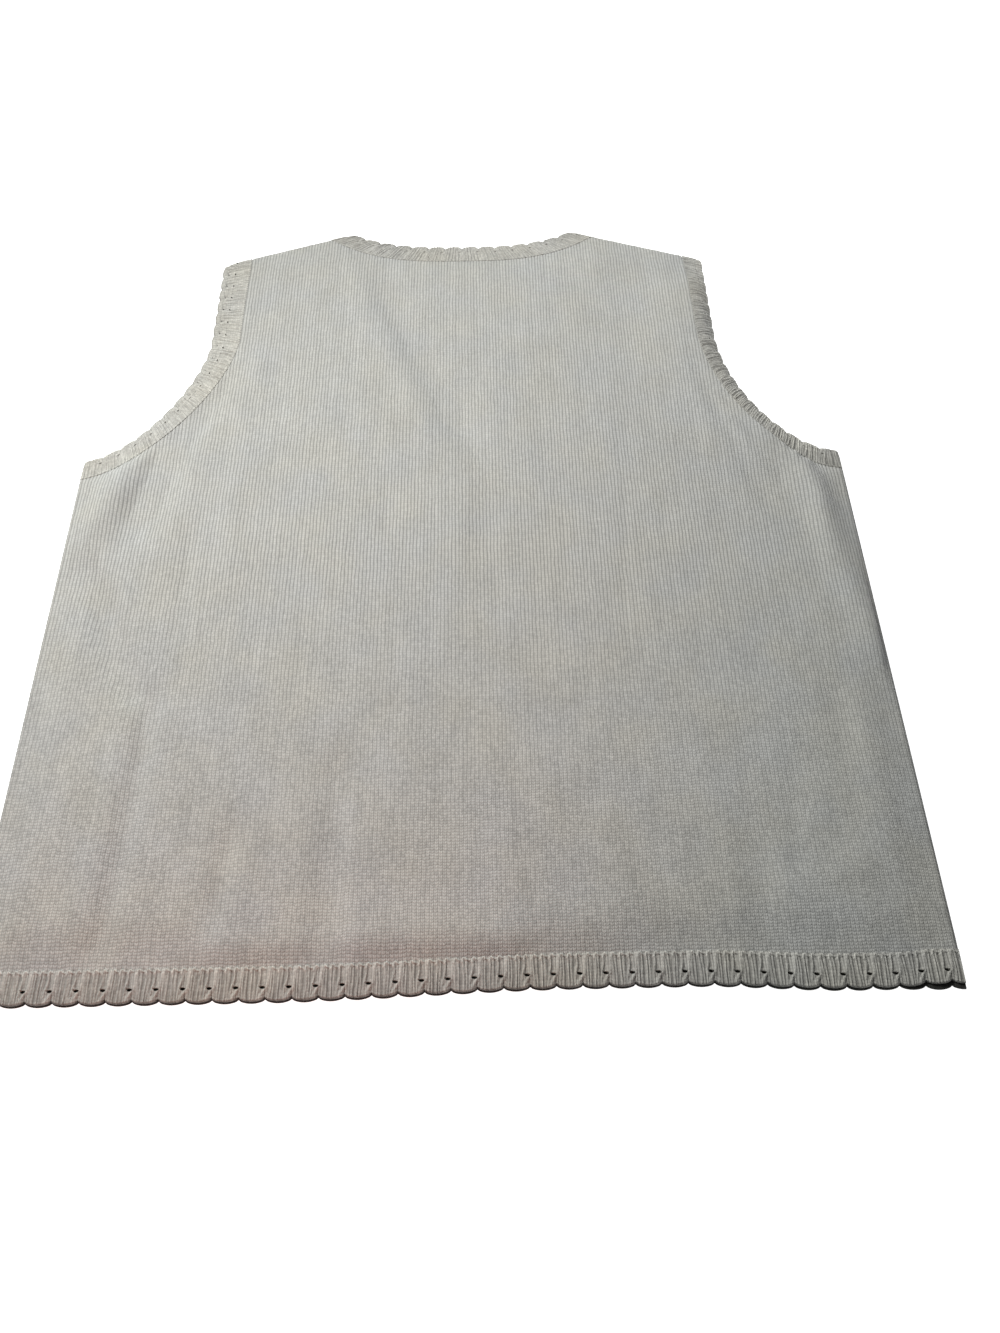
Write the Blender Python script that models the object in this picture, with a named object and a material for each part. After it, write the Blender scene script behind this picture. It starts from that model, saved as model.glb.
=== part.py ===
"""A sleeveless jersey vest with scalloped rib bands, lying flat with its back panel upwards.

Metres, +Z up. The vest lies on z = 0 with its neck towards +Y, and the origin is at the bottom centre of
its box. Inside this file, y is measured up the garment from its lowest hem scallop, until place() centres it.
Each piece is one wall between an outer and an inner grid of points. The front lies underneath, plain and
flat; the back lies over it with its soft folds, and only its bands carry raised ribs.
"""

import math

import bmesh
import bpy
import numpy as np

# Walls and gaps
WALL = 0.0014
SEAM_GAP = 0.0003
RIB_RELIEF = 0.0006
REST = WALL + SEAM_GAP

# Body, from the lowest hem scallop up to the shoulders
BODY_WIDTH = 0.501
HALF_WIDTH = BODY_WIDTH / 2
HEM_BAND = 0.0163
UNDERARM_Y = 0.3415
UNDERARM_BAND = 0.0160
CURVE_TOP_Y = 0.468
NECK_HALF_WIDTH = 0.100
SHOULDER_NECK_Y = 0.580
SHOULDER_FALL = math.tan(math.radians(19.5))
TRIM_WIDTH = 0.0170

# Half widths across the armhole seams, and how round each armhole is: (seam, free edge, exponent)
ARMHOLES = {
    "left_back": (-0.1592, -0.1762, 1.54),
    "right_back": (0.1675, 0.1815, 1.74),
    "left_front": (-0.1628, -0.1803, 1.52),
    "right_front": (0.1585, 0.1740, 1.76),
}

# Neck seams and free edges. The back is a shallow scoop, the front a V whose sides bend towards the shoulder.
BACK_NECK_DIP = 0.027
BACK_NECK_EDGE_DIP = 0.016
BACK_NECK_ROUNDNESS = 3.0
V_SEAM_APEX_Y = 0.330
V_SEAM_BEND_Y = 0.520
V_EDGE_APEX_Y = 0.368
V_EDGE_BEND_Y = 0.514
MITRE_CROWDING = 1.3

# Scallops along each seam, each as wide as three ribs, with a notch between neighbours
HEM_SCALLOPS = 38
ARMHOLE_SCALLOPS = 18
BACK_NECK_SCALLOPS = 14
FRONT_NECK_SCALLOPS = 36
RIBS_PER_SCALLOP = 3
POINTS_PER_PLAIN_SCALLOP = 4
SCALLOP_ROUNDNESS = 0.6
SIDE_ROWS = 12

# Notches: the depth as a share of the band's width, and how far into a scallop of the seam each one lies
HEM_NOTCHES = (0.12, 0.5)
ARMHOLE_NOTCHES = (0.075, 0.0)
NECK_NOTCHES = (0.12, 0.0)

# How the back lies on the front
LOFT = 0.0026
LOFT_FADE = 0.026
FOLD_GRIP = 10.0
NECK_SAG = 0.0003
NECK_SAG_FADE = 0.030
BACK_HEM_SHORT = 0.0006
HEM_RISE = 0.0038
HEM_RISE_START_X = -0.10
HEM_RISE_LENGTH = 0.16
HEM_FALL = {"back": 0.0031, "front": 0.0034}
HEM_FALL_START_X = 0.115
HEM_FALL_LENGTH = 0.080
HEM_CORNER = {"back": 0.0013, "front": -0.0004}
HEM_CORNER_START_X = 0.215
HEM_CORNER_LENGTH = 0.024
ARMHOLE_LIFT = {"left_back": 0.0010, "right_back": 0.0060}
ARMHOLE_LIFT_REACH = 0.026
ARMHOLE_LIFT_SPAN = (0.05, 0.22, 0.80, 1.00)

# Soft troughs (height below 0) and ridges of the back, each along a line
# x0, y0, x1, y1, half width, height
FOLDS = (
    (-0.211, 0.392, -0.229, 0.310, 0.013, 0.0042),  # from the left underarm
    (-0.182, 0.405, -0.204, 0.318, 0.013, -0.0050),
    (-0.174, 0.350, -0.188, 0.280, 0.010, 0.0006),
    (-0.150, 0.345, -0.143, 0.270, 0.010, 0.0014),
    (-0.171, 0.285, -0.170, 0.220, 0.006, -0.0010),
    (-0.143, 0.505, -0.126, 0.403, 0.008, -0.0012),
    (-0.228, 0.256, -0.193, 0.183, 0.008, -0.0042),  # down the left side
    (-0.178, 0.168, -0.184, 0.028, 0.007, -0.0019),
    (-0.191, 0.165, -0.196, 0.050, 0.009, 0.0011),
    (0.222, 0.352, 0.245, 0.205, 0.011, 0.0038),  # from the right underarm
    (0.2195, 0.357, 0.2310, 0.315, 0.007, 0.0022),
    (0.182, 0.398, 0.207, 0.331, 0.005, -0.0010),
    (0.165, 0.418, 0.195, 0.313, 0.005, -0.0010),
    (-0.0735, 0.512, -0.0235, 0.383, 0.013, 0.0020),  # over the left arm of the front's V
    (-0.054, 0.512, -0.004, 0.383, 0.013, -0.0034),
    (-0.006, 0.365, -0.006, 0.260, 0.012, 0.0008),  # down the middle
    (0.010, 0.365, 0.020, 0.250, 0.008, -0.0006),
    (0.105, 0.315, 0.097, 0.215, 0.004, -0.0003),
    (-0.125, 0.0275, 0.020, 0.0290, 0.0062, 0.0017),  # above the hem
    (-0.045, 0.034, 0.005, 0.034, 0.009, 0.0008),
    (0.040, 0.033, 0.065, 0.033, 0.010, 0.0012),
    (-0.069, 0.120, -0.071, 0.030, 0.010, -0.0018),
    (-0.126, 0.080, -0.128, 0.050, 0.007, -0.0018),
    (0.157, 0.075, 0.157, 0.052, 0.009, -0.0010),
    (0.173, 0.054, 0.209, 0.065, 0.009, 0.0009),
    (0.184, 0.120, 0.176, 0.065, 0.007, -0.0005),
    (0.215, 0.165, 0.215, 0.145, 0.009, -0.0010),
)

# name: base colour, roughness
MATERIALS = {
    "jersey": ((0.43, 0.42, 0.39), 0.92),
    "rib": ((0.40, 0.385, 0.355), 0.92),
}


def smooth(t):
    t = np.clip(t, 0.0, 1.0)
    return t * t * (3.0 - 2.0 * t)


def at_shares(path, shares):
    """Points at shares of the length of a dense path."""
    lengths = np.linalg.norm(np.diff(path, axis=0), axis=1)
    along = np.concatenate([[0.0], np.cumsum(lengths)])
    return np.stack([np.interp(shares * along[-1], along, path[:, axis]) for axis in range(2)], axis=1)


def evenly(path, count):
    """count + 1 points at equal steps along a dense path."""
    return at_shares(path, np.linspace(0.0, 1.0, count + 1))


def between(points, per_step):
    """The points of a polyline, with per_step points for each of its steps."""
    places = np.arange((len(points) - 1) * per_step + 1) / per_step
    return np.stack([np.interp(places, np.arange(len(points)), points[:, axis]) for axis in range(2)], axis=1)


# --- Seams and free edges, seen from above


def shoulder_y(x):
    return SHOULDER_NECK_Y - SHOULDER_FALL * (np.abs(x) - NECK_HALF_WIDTH)


def hem_rise(layer, x):
    """The hem steps up towards the right and falls back; at its right corner the front peeks out."""
    rise = HEM_RISE * smooth((x - HEM_RISE_START_X) / HEM_RISE_LENGTH)
    fall = HEM_FALL[layer] * smooth((x - HEM_FALL_START_X) / HEM_FALL_LENGTH)
    corner = HEM_CORNER[layer] * smooth((x - HEM_CORNER_START_X) / HEM_CORNER_LENGTH)
    return rise - fall + corner


def hem_line(layer, free_edge):
    """The back's free edge stops short of the front's, which shows below it as a thin line."""
    edge_y = BACK_HEM_SHORT if layer == "back" else 0.0
    x = np.linspace(-HALF_WIDTH, HALF_WIDTH, 200)
    return np.stack([x, (edge_y if free_edge else HEM_BAND) + hem_rise(layer, x)], axis=1)


def armhole_line(armhole, free_edge):
    """From the side seam round to the shoulder: a quarter of a superellipse, then straight up."""
    seam_x, edge_x, exponent = ARMHOLES[armhole]
    inner_x = edge_x if free_edge else seam_x
    base_y = UNDERARM_Y + (UNDERARM_BAND if free_edge else 0.0)
    turn = np.linspace(0.0, math.pi / 2, 120)
    across = np.sin(turn) ** (2.0 / exponent)
    down = np.cos(turn) ** (2.0 / exponent)
    side = math.copysign(1.0, seam_x)
    x = side * (HALF_WIDTH - (HALF_WIDTH - abs(inner_x)) * across)
    y = CURVE_TOP_Y - (CURVE_TOP_Y - base_y) * down
    top = (inner_x, shoulder_y(inner_x))
    return np.vstack([np.stack([x, y], axis=1), top])


def back_neck_line(free_edge):
    half = NECK_HALF_WIDTH - (TRIM_WIDTH if free_edge else 0.0)
    dip = BACK_NECK_EDGE_DIP if free_edge else BACK_NECK_DIP
    x = np.linspace(-half, half, 200)
    y = shoulder_y(half) - dip * (1.0 - (np.abs(x) / half) ** BACK_NECK_ROUNDNESS)
    return np.stack([x, y], axis=1)


def front_neck_line(free_edge):
    """A V: each side is a parabola that leaves the shoulder straight down."""
    half = NECK_HALF_WIDTH - (TRIM_WIDTH if free_edge else 0.0)
    bend_y = V_EDGE_BEND_Y if free_edge else V_SEAM_BEND_Y
    apex_y = V_EDGE_APEX_Y if free_edge else V_SEAM_APEX_Y
    t = np.linspace(0.0, 1.0, 120)
    x = half * (1.0 - t**2)
    y = shoulder_y(half) * (1.0 - t) ** 2 + 2.0 * bend_y * t * (1.0 - t) + apex_y * t**2
    left = np.stack([-x, y], axis=1)
    right = np.stack([x, y], axis=1)[-2::-1]
    return np.vstack([left, right])


# --- How high the back lies


def distance_to(path, x, y):
    gaps = np.hypot(x[..., None] - path[:, 0], y[..., None] - path[:, 1])
    return gaps.min(axis=-1), gaps.argmin(axis=-1) / (len(path) - 1)


def fold_height(x, y):
    """The sum of the folds, each fading out across its width and towards both its ends."""
    total = np.zeros_like(x)
    for x0, y0, x1, y1, half_width, height in FOLDS:
        length = math.hypot(x1 - x0, y1 - y0)
        along = ((x - x0) * (x1 - x0) + (y - y0) * (y1 - y0)) / length**2
        aside = ((x - x0) * (y1 - y0) - (y - y0) * (x1 - x0)) / length
        past_end = np.maximum(np.maximum(-along, along - 1.0), 0.0) * length
        total += height * np.exp(-((aside / half_width) ** 2) - (past_end / (2.0 * half_width)) ** 2)
    return total


def armhole_lift(armhole, x, y):
    """The edge of the back stands up along an armhole, but not at the underarm or the shoulder."""
    gap, share = distance_to(evenly(armhole_line(armhole, False), 120), x, y)
    low_start, low_end, high_start, high_end = ARMHOLE_LIFT_SPAN
    rise = smooth((share - low_start) / (low_end - low_start))
    fall = 1.0 - smooth((share - high_start) / (high_end - high_start))
    return ARMHOLE_LIFT[armhole] * rise * fall * np.exp(-((gap / ARMHOLE_LIFT_REACH) ** 2))


def back_height(x, y):
    """The height of the underside of the back, above the surface that the vest lies on."""
    borders = np.vstack(
        [
            evenly(hem_line("back", False), 100),
            [(side * HALF_WIDTH, height) for side in (-1, 1) for height in np.linspace(0.0, UNDERARM_Y, 60)],
            evenly(armhole_line("left_back", False), 60),
            evenly(armhole_line("right_back", False), 60),
            [(side * width, shoulder_y(width)) for side in (-1, 1) for width in np.linspace(0.1, 0.17, 12)],
            evenly(back_neck_line(False), 40),
        ]
    )
    inside = smooth(distance_to(borders, x, y)[0] / LOFT_FADE)
    soft = LOFT * inside + fold_height(x, y) * smooth(inside * FOLD_GRIP)
    soft += armhole_lift("left_back", x, y) + armhole_lift("right_back", x, y)
    v_edge = front_neck_line(True)
    hole_half = np.interp(y, v_edge[119::-1, 1], -v_edge[119::-1, 0], left=-1.0)
    sag = NECK_SAG * smooth((hole_half - np.abs(x)) / NECK_SAG_FADE) * inside
    return REST + np.maximum(soft, 0.0) - sag


# --- Solids


def closed_wall(name, outer, inner, material):
    """One closed solid between two equal grids of points, with a rim round their borders."""
    rows, columns = outer.shape[:2]
    mesh = bmesh.new()
    top = [[mesh.verts.new(point) for point in row] for row in outer]
    under = [[mesh.verts.new(point) for point in row] for row in inner]
    for j in range(rows - 1):
        for i in range(columns - 1):
            mesh.faces.new((top[j][i], top[j][i + 1], top[j + 1][i + 1], top[j + 1][i]))
            mesh.faces.new((under[j][i], under[j + 1][i], under[j + 1][i + 1], under[j][i + 1]))
    border = [(0, i) for i in range(columns)]
    border += [(j, columns - 1) for j in range(1, rows)]
    border += [(rows - 1, i) for i in range(columns - 2, -1, -1)]
    border += [(j, 0) for j in range(rows - 2, 0, -1)]
    for (j, i), (l, k) in zip(border, border[1:] + border[:1]):
        mesh.faces.new((top[j][i], under[j][i], under[l][k], top[l][k]))
    bmesh.ops.recalc_face_normals(mesh, faces=mesh.faces)
    data = bpy.data.meshes.new(name)
    mesh.to_mesh(data)
    mesh.free()
    data.shade_smooth()
    data.set_sharp_from_angle(angle=math.radians(55))
    data.materials.append(material)
    piece = bpy.data.objects.new(name, data)
    bpy.context.scene.collection.objects.link(piece)
    return piece


def at_height(flat, height):
    return np.concatenate([flat, np.broadcast_to(height, flat.shape[:2])[..., None]], axis=2)


def patch(bottom, top, left, right):
    """The flat grid between four borders, its rows spread as the side borders are."""
    u = np.linspace(0.0, 1.0, len(bottom))[None, :, None]
    rise = (left[:, 1] - left[0, 1]) / (left[-1, 1] - left[0, 1])
    v = rise[:, None, None]
    across = (1 - v) * bottom[None] + v * top[None]
    up = (1 - u) * left[:, None] + u * right[:, None]
    corners = (1 - v) * ((1 - u) * bottom[0] + u * bottom[-1]) + v * ((1 - u) * top[0] + u * top[-1])
    return across + up - corners


def side_border(layer, side, armhole):
    """Up the side seam from the hem, then round the armhole seam to the shoulder."""
    foot_y = HEM_BAND + hem_rise(layer, np.array(side * HALF_WIDTH))
    seam_y = np.linspace(foot_y, UNDERARM_Y, SIDE_ROWS + 1)[:-1]
    seam = np.stack([np.full_like(seam_y, side * HALF_WIDTH), seam_y], axis=1)
    return np.vstack([seam, evenly(armhole_line(armhole, False), ARMHOLE_SCALLOPS)])


def top_border(left_end, right_end, neck, neck_count):
    """Along the left shoulder, the neck seam and the right shoulder."""
    shoulder_count = (HEM_SCALLOPS - neck_count) // 2
    left = np.linspace(left_end, neck[0], shoulder_count + 1)[:-1]
    right = np.linspace(neck[-1], right_end, shoulder_count + 1)[1:]
    return np.vstack([left, evenly(neck, neck_count), right])


def panel(layer, neck, neck_count, material):
    left = side_border(layer, -1, "left_" + layer)
    right = side_border(layer, 1, "right_" + layer)
    bottom = evenly(hem_line(layer, False), HEM_SCALLOPS)
    flat = patch(bottom, top_border(left[-1], right[-1], neck, neck_count), left, right)
    height = back_height(flat[..., 0], flat[..., 1]) if layer == "back" else 0.0
    closed_wall(layer + "_panel", at_height(flat, height + WALL), at_height(flat, height), material)


def square_width(seam_points, across):
    """The width of a band at each of its seam's points, square to the seam's nearer-lying step."""
    steps = np.diff(seam_points, axis=0)
    normals = np.stack([-steps[:, 1], steps[:, 0]], axis=1) / np.linalg.norm(steps, axis=1, keepdims=True)
    after = np.abs((across[:-1] * normals).sum(axis=1))
    before = np.abs((across[1:] * normals).sum(axis=1))
    return np.minimum(np.append(after, after[-1]), np.append(before[0], before))[:, None]


def mitred(count):
    """Shares along an edge that crowd towards its middle, where the ribs of both sides meet."""
    half = 1.0 - (1.0 - np.linspace(0.0, 1.0, count // 2 + 1)) ** MITRE_CROWDING
    return np.concatenate([half, 2.0 - half[-2::-1]]) / 2


def band(name, seam, edge, scallops, notches, material, ribbed, edge_shares=None):
    """A band between a seam and a free edge, which is scalloped."""
    per_scallop = 2 * RIBS_PER_SCALLOP if ribbed else POINTS_PER_PLAIN_SCALLOP
    seam_points = between(evenly(seam, scallops), per_scallop)
    shares_along = np.linspace(0.0, 1.0, scallops + 1) if edge_shares is None else edge_shares
    edge_points = between(at_shares(edge, shares_along), per_scallop)
    across = edge_points - seam_points
    width = np.linalg.norm(across, axis=1, keepdims=True)
    place = np.arange(len(seam_points)) / per_scallop
    depth, first = notches
    notch = depth * (1.0 - np.abs(np.sin(math.pi * (place - first))) ** SCALLOP_ROUNDNESS)
    near = SEAM_GAP / square_width(seam_points, across)
    far = 1.0 - notch[:, None]
    shares = (0.0, 0.5, 1.0) if ribbed else (0.0, 1.0)
    flat = np.stack([seam_points + across * (near + (far - near) * share) for share in shares])
    height = np.zeros(flat.shape[:2])
    upper = height + WALL
    if ribbed:
        lift = back_height(seam_points[:, 0], seam_points[:, 1]) - REST
        share = np.array(shares)[:, None]
        height = REST + lift * (1.0 - share**2)
        slope = 2.0 * lift * share / width.T
        is_rib = (np.arange(len(seam_points)) - first * per_scallop) % 2
        upper = height + WALL * np.sqrt(1.0 + slope**2) + RIB_RELIEF * is_rib
    closed_wall(name, at_height(flat, upper), at_height(flat, height), material)


def place():
    """Moves every piece by the same step, so that the origin is at the bottom centre of their box."""
    bpy.context.view_layer.update()
    pieces = [piece for piece in bpy.context.scene.objects if piece.type == "MESH"]
    points = np.array([vertex.co for piece in pieces for vertex in piece.data.vertices])
    low, high = points.min(axis=0), points.max(axis=0)
    step = (-(low[0] + high[0]) / 2, -(low[1] + high[1]) / 2, -low[2])
    for piece in pieces:
        for vertex in piece.data.vertices:
            vertex.co = [value + shift for value, shift in zip(vertex.co, step)]


def principled(name, colour, roughness):
    material = bpy.data.materials.new(name)
    material.use_nodes = True
    shader = material.node_tree.nodes["Principled BSDF"]
    shader.inputs["Base Color"].default_value = (*colour, 1.0)
    shader.inputs["Roughness"].default_value = roughness
    shader.inputs["Metallic"].default_value = 0.0
    return material


def main():
    for old in list(bpy.data.objects):
        bpy.data.objects.remove(old)
    jersey, rib = (principled(name, *look) for name, look in MATERIALS.items())

    panel("front", front_neck_line(False), FRONT_NECK_SCALLOPS, jersey)
    panel("back", back_neck_line(False), BACK_NECK_SCALLOPS, jersey)
    for layer in ("front", "back"):
        ribbed = layer == "back"
        seam, edge = (hem_line(layer, free) for free in (False, True))
        band("hem_band_" + layer, seam, edge, HEM_SCALLOPS, HEM_NOTCHES, rib, ribbed)
        for side in ("left", "right"):
            armhole = f"{side}_{layer}"
            seam, edge = (armhole_line(armhole, free) for free in (False, True))
            band(f"armhole_band_{side}_{layer}", seam, edge, ARMHOLE_SCALLOPS, ARMHOLE_NOTCHES, rib, ribbed)
    seam, edge = (back_neck_line(free) for free in (False, True))
    band("neckband_back", seam, edge, BACK_NECK_SCALLOPS, NECK_NOTCHES, rib, True)
    seam, edge = (front_neck_line(free) for free in (False, True))
    shares = mitred(FRONT_NECK_SCALLOPS)
    band("neckband_front", seam, edge, FRONT_NECK_SCALLOPS, NECK_NOTCHES, rib, False, shares)
    place()


main()
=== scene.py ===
"""The looks of a sleeveless jersey vest that lies flat with its back panel upwards.

Metres. Inside this file y is measured up the garment from its lowest hem scallop, until a piece's points
are moved into the frame. Each piece is a thin wall of knitted cloth over one flat mesh, with its wales,
ribs, eyelets and folds in its two heights, and its stitches in its material.
"""

import math
from collections import namedtuple

import bpy
import numpy as np
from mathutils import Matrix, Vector
from mathutils.kdtree import KDTree


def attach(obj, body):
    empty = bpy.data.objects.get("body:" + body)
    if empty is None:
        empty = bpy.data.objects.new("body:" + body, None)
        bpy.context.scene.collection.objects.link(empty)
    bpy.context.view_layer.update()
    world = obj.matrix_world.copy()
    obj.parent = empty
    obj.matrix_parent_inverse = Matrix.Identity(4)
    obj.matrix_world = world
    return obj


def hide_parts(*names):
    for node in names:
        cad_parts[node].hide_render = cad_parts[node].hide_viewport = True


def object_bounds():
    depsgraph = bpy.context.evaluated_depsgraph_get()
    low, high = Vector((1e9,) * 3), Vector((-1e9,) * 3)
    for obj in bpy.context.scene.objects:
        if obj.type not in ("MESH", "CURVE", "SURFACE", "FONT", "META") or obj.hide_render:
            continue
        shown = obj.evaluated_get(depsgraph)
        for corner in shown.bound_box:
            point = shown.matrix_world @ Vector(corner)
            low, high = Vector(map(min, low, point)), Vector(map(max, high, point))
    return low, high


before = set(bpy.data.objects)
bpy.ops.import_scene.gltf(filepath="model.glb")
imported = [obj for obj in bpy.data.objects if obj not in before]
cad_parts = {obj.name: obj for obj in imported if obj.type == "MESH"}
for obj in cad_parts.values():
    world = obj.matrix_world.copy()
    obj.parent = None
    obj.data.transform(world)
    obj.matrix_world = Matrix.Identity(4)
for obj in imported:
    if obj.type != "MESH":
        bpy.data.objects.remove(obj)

cad_box = [list(corner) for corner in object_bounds()]
FOOT_Y = cad_box[0][1]

# --- Sizes shared with the solids

WALL = 0.0014
SEAM_GAP = 0.0003
REST = WALL + SEAM_GAP

BODY_WIDTH = 0.501
HALF_WIDTH = BODY_WIDTH / 2
HEM_BAND = 0.0163
UNDERARM_Y = 0.3415
UNDERARM_BAND = 0.0160
CURVE_TOP_Y = 0.468
NECK_HALF_WIDTH = 0.100
SHOULDER_NECK_Y = 0.580
SHOULDER_END_X = 0.17
SHOULDER_ANGLE = math.radians(19.5)
SHOULDER_FALL = math.tan(SHOULDER_ANGLE)
TRIM_WIDTH = 0.0170

# Each armhole: where its seam and its free edge lie across the shoulder, and the exponent of its curve
ARMHOLES = {
    "left_back": (-0.1592, -0.1762, 1.54),
    "right_back": (0.1675, 0.1815, 1.74),
    "left_front": (-0.1628, -0.1803, 1.52),
    "right_front": (0.1585, 0.1740, 1.76),
}

BACK_NECK_DIP = 0.027
BACK_NECK_EDGE_DIP = 0.016
BACK_NECK_ROUNDNESS = 3.0
V_SEAM_APEX_Y = 0.330
V_SEAM_BEND_Y = 0.520
V_EDGE_APEX_Y = 0.368
V_EDGE_BEND_Y = 0.514
MITRE_CROWDING = 1.3

HEM_SCALLOPS = 38
ARMHOLE_SCALLOPS = 18
BACK_NECK_SCALLOPS = 14
FRONT_NECK_SCALLOPS = 36
RIBS_PER_SCALLOP = 3
WALES_PER_SCALLOP = 2 * RIBS_PER_SCALLOP
SCALLOP_ROUNDNESS = 0.6

# How far the back is puffed up, how soon its folds grow from its seams, and its sag over the front's neck
LOFT = 0.0026
LOFT_FADE = 0.026
FOLD_GRIP = 10.0
NECK_SAG = 0.0003
NECK_SAG_FADE = 0.030

# How the hem rises and falls along x, where its free edge ends, and what each layer lies on
HEM_RISE = 0.0038
HEM_RISE_START_X = -0.10
HEM_RISE_LENGTH = 0.16
HEM_FALL = {"back": 0.0031, "front": 0.0034}
HEM_FALL_START_X = 0.115
HEM_FALL_LENGTH = 0.080
HEM_CORNER = {"back": 0.0013, "front": -0.0004}
HEM_CORNER_START_X = 0.215
HEM_CORNER_LENGTH = 0.024
HEM_EDGE_Y = {"back": 0.0006, "front": 0.0}
RESTS_ON = {"back": ["front_jersey"], "front": ["floor"]}

# How far the back's edge stands up along its armholes, and between which shares of their seams
ARMHOLE_LIFT = {"left_back": 0.0010, "right_back": 0.0060}
ARMHOLE_LIFT_REACH = 0.026
ARMHOLE_LIFT_RISE = (0.05, 0.22)
ARMHOLE_LIFT_FALL = (0.80, 1.00)

# Soft ridges and troughs (heights below 0) of the back, each along a line:
# x0, y0, x1, y1, half width, height
FOLDS = (
    (-0.211, 0.392, -0.229, 0.310, 0.013, 0.0042),  # from the left underarm
    (-0.182, 0.405, -0.204, 0.318, 0.013, -0.0050),
    (-0.174, 0.350, -0.188, 0.280, 0.010, 0.0006),
    (-0.150, 0.345, -0.143, 0.270, 0.010, 0.0014),
    (-0.171, 0.285, -0.170, 0.220, 0.006, -0.0010),
    (-0.143, 0.505, -0.126, 0.403, 0.008, -0.0012),
    (-0.228, 0.256, -0.193, 0.183, 0.008, -0.0042),  # down the left side
    (-0.178, 0.168, -0.184, 0.028, 0.007, -0.0019),
    (-0.191, 0.165, -0.196, 0.050, 0.009, 0.0011),
    (0.222, 0.352, 0.245, 0.205, 0.011, 0.0038),  # from the right underarm
    (0.2195, 0.357, 0.2310, 0.315, 0.007, 0.0022),
    (0.182, 0.398, 0.207, 0.331, 0.005, -0.0010),
    (0.165, 0.418, 0.195, 0.313, 0.005, -0.0010),
    (-0.0735, 0.512, -0.0235, 0.383, 0.013, 0.0020),  # over the left arm of the front's V
    (-0.054, 0.512, -0.004, 0.383, 0.013, -0.0034),
    (-0.006, 0.365, -0.006, 0.260, 0.012, 0.0008),  # down the middle
    (0.010, 0.365, 0.020, 0.250, 0.008, -0.0006),
    (0.105, 0.315, 0.097, 0.215, 0.004, -0.0003),
    (-0.125, 0.0275, 0.020, 0.0290, 0.0062, 0.0017),  # above the hem
    (-0.045, 0.034, 0.005, 0.034, 0.009, 0.0008),
    (0.040, 0.033, 0.065, 0.033, 0.010, 0.0012),
    (-0.069, 0.120, -0.071, 0.030, 0.010, -0.0018),
    (-0.126, 0.080, -0.128, 0.050, 0.007, -0.0018),
    (0.157, 0.075, 0.157, 0.052, 0.009, -0.0010),
    (0.173, 0.054, 0.209, 0.065, 0.009, 0.0009),
    (0.184, 0.120, 0.176, 0.065, 0.007, -0.0005),
    (0.215, 0.165, 0.215, 0.145, 0.009, -0.0010),
)

# How finely the seams and edges are drawn and measured
HEM_LINE_POINTS = 400
ARMHOLE_LINE_POINTS = 240
BACK_NECK_LINE_POINTS = 200
V_LINE_POINTS = 240
DISTANCE_STEP = 0.0008
SHARE_STEPS = 120

# --- Walls of cloth

SHARP_ANGLE = math.radians(60.0)
THINNEST_EDGE = 0.00015

# The two layers curl towards each other at the side and shoulder seams
CURL_REACH = 0.0018
CURL_BACK_TOP = 0.0009
CURL_BACK_UNDER = 0.00025
CURL_FRONT_TOP = 0.00012
CURL_FRONT_UNDER = 0.00055

# --- Panels

WALES = 228
WALE = BODY_WIDTH / WALES
COURSE = 0.0017
COLUMNS_PER_WALE = 2
PANEL_ROW = 0.0056
RIDGE = 0.00013

# How often a cut is halved on its way to the outline, the share of an edge under which it takes the edge's
# end instead, and how far outside the outline a point still counts as on it
CUT_HALVINGS = 20
CUT_SNAP = 0.03
ON_OUTLINE = -1e-9

# The back's thickness, the height of the front's top, and how far both dip beside the linked seams
CLOTH = 0.0011
FRONT_TOP = 0.00095
SEAM_DIP = 0.00035
FRONT_SEAM_DIP = 0.6
SEAM_DIP_REACH = 0.0020

# Painted shade beside the left and the right side seam, where the cloth curls under;
# more on the right, away from the light
SIDE_SHADES = (0.15, 0.60)
SIDE_SHADE_REACH = 0.0024

# --- Bands

BandStyle = namedtuple(
    "BandStyle",
    (
        "notch",  # how deep its notches are, as a share of its width
        "phase",  # where its first notch lies, in scallops before its start
        "eyelet",  # how wide and how tall its eyelets are
        "rib_tab",  # how far its ribs reach over the panel
        "valley_tab",  # how far its valleys reach over the panel
        "arches",  # whether its ribs end in arches over the seam, on the back
        "floor",  # how thick its valleys are
        "relief",  # how far its ribs stand above them
        "leaf",  # how tall its leaves are, as a share of the tallest
        "tone",  # how light it is: painted light above 1, painted shade below 1
        "valley_shade",  # painted shade: how light its valleys are, deep between its ribs
        "dot_shade",  # how light the holes along its seam are
        "shine",  # painted highlight: how much lighter its tallest strands are
        "specks",  # how dark its specks are
        "fade",  # how much darker its free edge is, as painted shade (below 0: painted light)
        "side_shade",  # painted shade: how much darker it is beside the vest's side
        "top_shade",  # painted shade: how light its upper side is under the back, on the front
        "rim_start",  # the share of its width at which its painted dark rim begins, on the front
    ),
)
HEM_STYLE = BandStyle(
    notch=0.12,
    phase=0.5,
    eyelet=(0.0030, 0.0018),
    rib_tab=0.0016,
    valley_tab=0.0006,
    arches=True,
    floor=0.00100,
    relief=0.00085,
    leaf=1.0,
    tone=1.0,
    valley_shade=0.64,
    dot_shade=0.9,
    shine=0.16,
    specks=0.0,
    fade=0.15,
    side_shade=0.0,
    top_shade=1.0,
    rim_start=0.965,
)
TRIM_STYLE = HEM_STYLE._replace(
    phase=0.0,
    eyelet=(0.0022, 0.0011),
    arches=False,
    floor=0.00105,
    relief=0.00065,
    shine=0.0,
    fade=0.0,
)
NECK_STYLE = TRIM_STYLE._replace(rib_tab=0.0006, valley_tab=0.0003, valley_shade=0.85, dot_shade=0.72)
ARMHOLE_STYLE = TRIM_STYLE._replace(
    notch=0.075, rib_tab=0.0004, valley_tab=0.0002, leaf=0.6, dot_shade=0.62, specks=0.60
)
LEFT_STYLE = ARMHOLE_STYLE._replace(valley_shade=0.78)
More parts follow.
